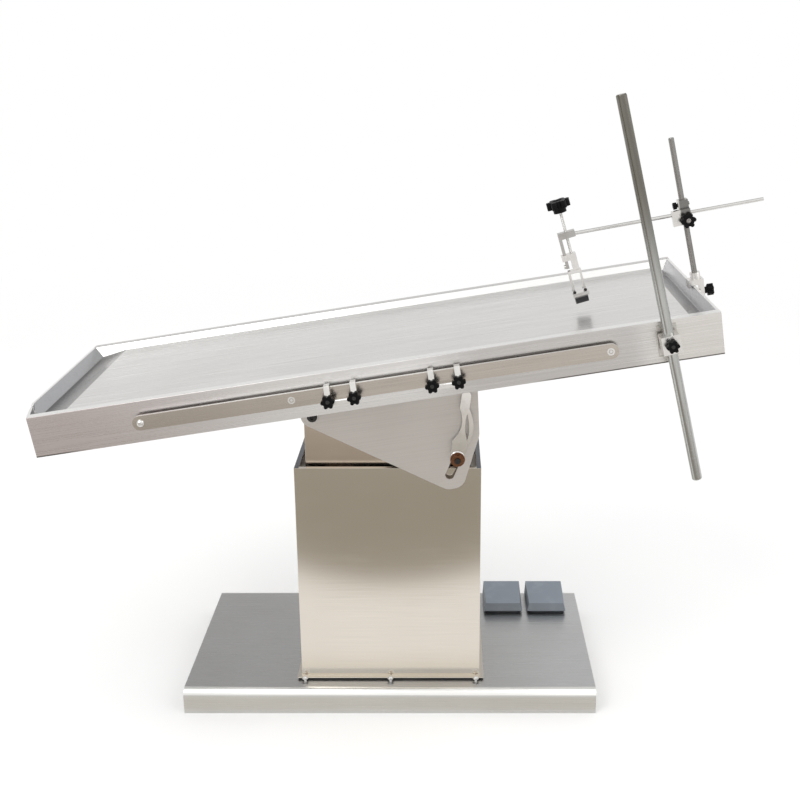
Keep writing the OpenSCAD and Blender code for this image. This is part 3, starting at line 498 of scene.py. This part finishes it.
def fitting(name, build, look, body, place):
    """A piece built along +Z, put at a place and carried by a body."""
    mesh = bpy.data.meshes.new(name)
    made = bmesh.new()
    build(made)
    bmesh.ops.recalc_face_normals(made, faces=made.faces)
    made.to_mesh(mesh)
    made.free()
    mesh.materials.append(look)
    for face in mesh.polygons:
        face.use_smooth = True
    piece = bpy.data.objects.new(name, mesh)
    piece.matrix_world = place
    bpy.context.scene.collection.objects.link(piece)
    split = piece.modifiers.new("split", "EDGE_SPLIT")
    split.split_angle = SPLIT_ANGLE
    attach(piece, body)
    return piece


def rings(made, profile, sides=48):
    """A turned form from (radius, height, corners) rings; six corners make a hexagonal socket."""
    loops = []
    for radius, height, corners in profile:
        loop = []
        for i in range(sides):
            angle = 2 * math.pi * i / sides
            reach = radius
            if corners:
                step = math.pi / corners
                reach = radius * math.cos(step) / math.cos((angle % (2 * step)) - step)
            loop.append(made.verts.new((reach * math.cos(angle), reach * math.sin(angle), height)))
        loops.append(loop)
    for low, high in zip(loops, loops[1:]):
        for i in range(sides):
            made.faces.new((low[i], low[i - 1], high[i - 1], high[i]))
    made.faces.new(loops[0])
    made.faces.new(loops[-1])


def dome(radius, height, socket):
    """A domed screw head with a hexagonal socket."""
    def build(made):
        arc = [(radius * math.cos(t), height * math.sin(t), 0) for t in DOME_ARC]
        rings(made, arc + [(socket * 1.25, height, 0), (socket, height, 6), (socket, height * 0.45, 6)])
    return build


def socket_bolt(made):
    """A washer under a socket head."""
    washer = [(0.0105, 0, 0), (0.0105, 0.0016, 0)]
    head = [(0.0066, 0.0016, 0), (0.0066, 0.0068, 0), (0.0060, 0.0074, 0)]
    socket = [(0.0040, 0.0074, 6), (0.0040, 0.0040, 6)]
    rings(made, washer + head + socket)


def insert_cap(radius):
    """The metal insert in a knob's dished top."""
    def build(made):
        rim = [(radius, 0, 0), (radius, 0.0007, 0), (radius * 0.85, 0.0010, 0)]
        dish = [(radius * 0.5, 0.0010, 0), (radius * 0.35, 0.0004, 0)]
        rings(made, rim + dish, 32)
    return build


def thread(made):
    """The press screw's thread, from end to end."""
    low, high, pitch = -0.051, 0.060, 0.002
    core, crest_height = 0.00252, 0.00046
    sides, rows = 20, 6
    steps = int((high - low) / pitch * rows)
    loops = []
    for k in range(steps + 1):
        z = low + (high - low) * k / steps
        loop = []
        for i in range(sides):
            angle = 2 * math.pi * i / sides
            turn = (z / pitch - i / sides) % 1.0
            crest = min(1.0, 3.0 * (1.0 - abs(2.0 * turn - 1.0)))
            radius = core + crest_height * crest
            loop.append(made.verts.new((radius * math.cos(angle), radius * math.sin(angle), z)))
        loops.append(loop)
    for a, b in zip(loops, loops[1:]):
        for i in range(sides):
            made.faces.new((a[i - 1], a[i], b[i], b[i - 1]))
    made.faces.new(loops[0])
    made.faces.new(loops[-1])


# Only the rail's foot end has room for a dome, because the tie clamps pass or reach the other screws
for side, turn in SIDES:
    for i, x in enumerate(RAIL_SCREWS):
        head, look, sunk = (RAIL_DOME, bright, 0) if i == 0 else (RAIL_FLUSH, flush_steel, RAIL_FLUSH[1])
        place = TRAY @ Vector((x, turn * (RAIL_FACE - sunk), RAIL_Z))
        fitting(f"rail_screw_{side}_{i}", dome(*head), look, "tray", aimed(place, (0, turn, 0)))

for side, turn in SIDES:
    place = Vector((PIVOT.x, PIVOT.y + turn * SHAFT_END, PIVOT.z))
    fitting(f"pivot_bolt_{side}", socket_bolt, burnt, "column", aimed(place, (0, turn, 0)))

for name in LOOKS[black]:
    if name == "press_knob":
        continue
    joint = JOINTS[name.removeprefix("tie_") + "_turn"]
    axis = Vector(joint["axis"])
    start = Vector(joint["pos_m"])
    points = [vertex.co - start for vertex in NODES[name].data.vertices]
    top = max(point.dot(axis) for point in points)
    reach = max((point - axis * point.dot(axis)).length for point in points)
    look = rod_steel if name == "cross_knob" else burnt
    place = aimed(start + axis * (top - INSERT_SUNK), axis)
    fitting(f"{name}_insert", insert_cap(reach * INSERT_SHARE), look, joint["child"], place)

PRESS = aimed(JOINTS["screw_turn"]["pos_m"], JOINTS["press_slide"]["axis"])
for i, x in enumerate(PIN_X):
    for side, turn in SIDES:
        place = PRESS @ Vector((x, turn * PIN_Y, PIN_Z))
        fitting(f"pad_pin_{side}_{i}", dome(*PIN_HEAD), burnt, "press", aimed(place, (0, turn, 0)))

screw = fitting("press_thread", thread, bright, "screw", PRESS)
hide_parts("press_screw")

# Stage, light and camera

WHITE = (1, 1, 1, 1)
STAGE_SIZE = 14.0
STUDIO_LIFT = 0.0005
LAMP_SIZE = 2.4

# Where the bands of the studio floor begin, in metres in front of the table's middle

STUDIO_START = (0.236, 0.26)
PALE_BAND = (0.27, 0.42)
DARK_BAND = (0.66, 0.84)
GREY_BAND = (1.80, 2.20)
FAR_BAND = (2.2, 2.9)


def stage_plane(name, z, look):
    mesh = bpy.data.meshes.new(name)
    made = bmesh.new()
    bmesh.ops.create_grid(made, x_segments=1, y_segments=1, size=STAGE_SIZE)
    made.to_mesh(mesh)
    made.free()
    mesh.materials.append(look)
    plane = bpy.data.objects.new(name, mesh)
    plane.location.z = z
    bpy.context.scene.collection.objects.link(plane)
    return plane


def floor_material():
    """A pale floor that turns to plain white, for the camera, away from the table."""
    made, g = new_material("floor_pale")
    place = g.coord("Object")
    cloud = g.noise(place, EVEN, 1.5, 2.0)
    tint = g.mix(g.span(cloud, 0.3, 0.7), (0.94, 0.94, 0.94, 1), (0.96, 0.96, 0.955, 1))
    shader = g.node("ShaderNodeBsdfPrincipled", {"Base Color": tint, "Roughness": 0.9, "Metallic": 0.0})
    distance = g.node("ShaderNodeVectorMath", {0: place}, operation="LENGTH").outputs["Value"]
    seen = g.times(g.span(distance, 2.0, 5.0), g.node("ShaderNodeLightPath").outputs["Is Camera Ray"])
    g.surface(g.blend(seen, shader.outputs[0], g.glow(WHITE)))
    return made


def studio_material():
    """Bands of pale and grey that start just in front of the column and run towards the camera."""
    made, g = new_material("studio_grey")
    x, y, _ = g.parts(g.coord("Object"))
    ahead = g.times(y, -1.0)
    bow = g.times(g.math("POWER", g.math("ADD", x, 0.03), 2.0), 1.4)
    bowed = g.math("SUBTRACT", ahead, g.math("MINIMUM", bow, 0.6))
    skewed = g.math("SUBTRACT", ahead, g.span(x, -0.2, -0.9, 0.0, 0.3))
    tone = g.mix(g.span(ahead, *PALE_BAND), (0.84, 0.81, 0.75, 1), (1.0, 0.99, 0.98, 1))
    tone = g.mix(g.span(bowed, *DARK_BAND), tone, (0.38, 0.355, 0.305, 1))
    tone = g.mix(g.span(skewed, *GREY_BAND), tone, (0.60, 0.56, 0.52, 1))
    tone = g.mix(g.span(skewed, *FAR_BAND), tone, (0.98, 0.97, 0.96, 1))
    clear = g.node("ShaderNodeBsdfTransparent").outputs[0]
    g.surface(g.blend(g.span(ahead, *STUDIO_START), clear, g.glow(tone)))
    return made


def studio_world():
    """White to the camera and as light, and a studio with darker parts in reflections."""
    made = bpy.data.worlds.new("studio")
    made.use_nodes = True
    g = Graph(made.node_tree)
    across, away, up = g.parts(g.coord("Generated"))
    low = g.span(up, 0.02, 0.07, 0.55, 1.0)
    high = g.span(up, 0.24, 0.44, 1.0, 0.50)
    foot_side = g.span(across, -0.12, 0.14, 0.96, 1.0)
    head_side = g.times(g.span(up, 0.3, 0.44), g.span(across, -0.05, 0.14, 0.0, 0.13))
    behind = g.math("ADD", g.times(low, high, foot_side), head_side)
    before = g.span(up, 0.0, 0.3, 0.80, 1.0)
    level = g.math("ADD", g.times(behind, g.span(away, -0.1, 0.2)), g.times(before, g.span(away, 0.2, -0.1)))
    mirrored = g.mix(level, (0, 0, 0, 1), (1, 0.995, 0.985, 1))
    rays = g.node("ShaderNodeLightPath").outputs
    reflecting = g.larger(rays["Is Glossy Ray"], rays["Is Transmission Ray"])
    seen = g.mix(rays["Is Camera Ray"], g.mix(reflecting, WHITE, mirrored), WHITE)
    background = g.node("ShaderNodeBackground", {"Color": seen}).outputs[0]
    g.node("ShaderNodeOutputWorld", {"Surface": background})
    return made


def area_light(name, place, target, watts):
    light = bpy.data.lights.new(name, "AREA")
    light.shape = "SQUARE"
    light.size = LAMP_SIZE
    light.energy = watts
    lamp = bpy.data.objects.new(name, light)
    lamp.location = place
    lamp.rotation_euler = (Vector(target) - Vector(place)).to_track_quat("-Z", "Y").to_euler()
    bpy.context.scene.collection.objects.link(lamp)


stage_plane("floor", 0.0, floor_material())

# Only the metal's reflections show the studio floor
studio = stage_plane("studio_floor", STUDIO_LIFT, studio_material())
studio.visible_camera = False
studio.visible_diffuse = False
studio.visible_shadow = False
studio.visible_transmission = False

bpy.context.scene.world = studio_world()
area_light("key", (-1.8, -2.4, 3.4), (0, 0, 0.6), 42)
area_light("fill", (2.6, -1.4, 2.8), (0.3, 0, 0.6), 18)

# The camera's place, dip and lens are fitted to the photograph's corners
CAMERA_DIP = 17.47
lens = bpy.data.cameras.new("camera")
lens.sensor_width = 36.0
lens.lens = 52.67
lens.shift_x = -0.0573
camera = bpy.data.objects.new("camera", lens)
camera.location = (0.11944, -2.42387, 1.39194)
camera.rotation_euler = (math.radians(90 - CAMERA_DIP), 0, 0)
bpy.context.scene.collection.objects.link(camera)
bpy.context.scene.camera = camera
bpy.context.scene.view_settings.view_transform = "Standard"
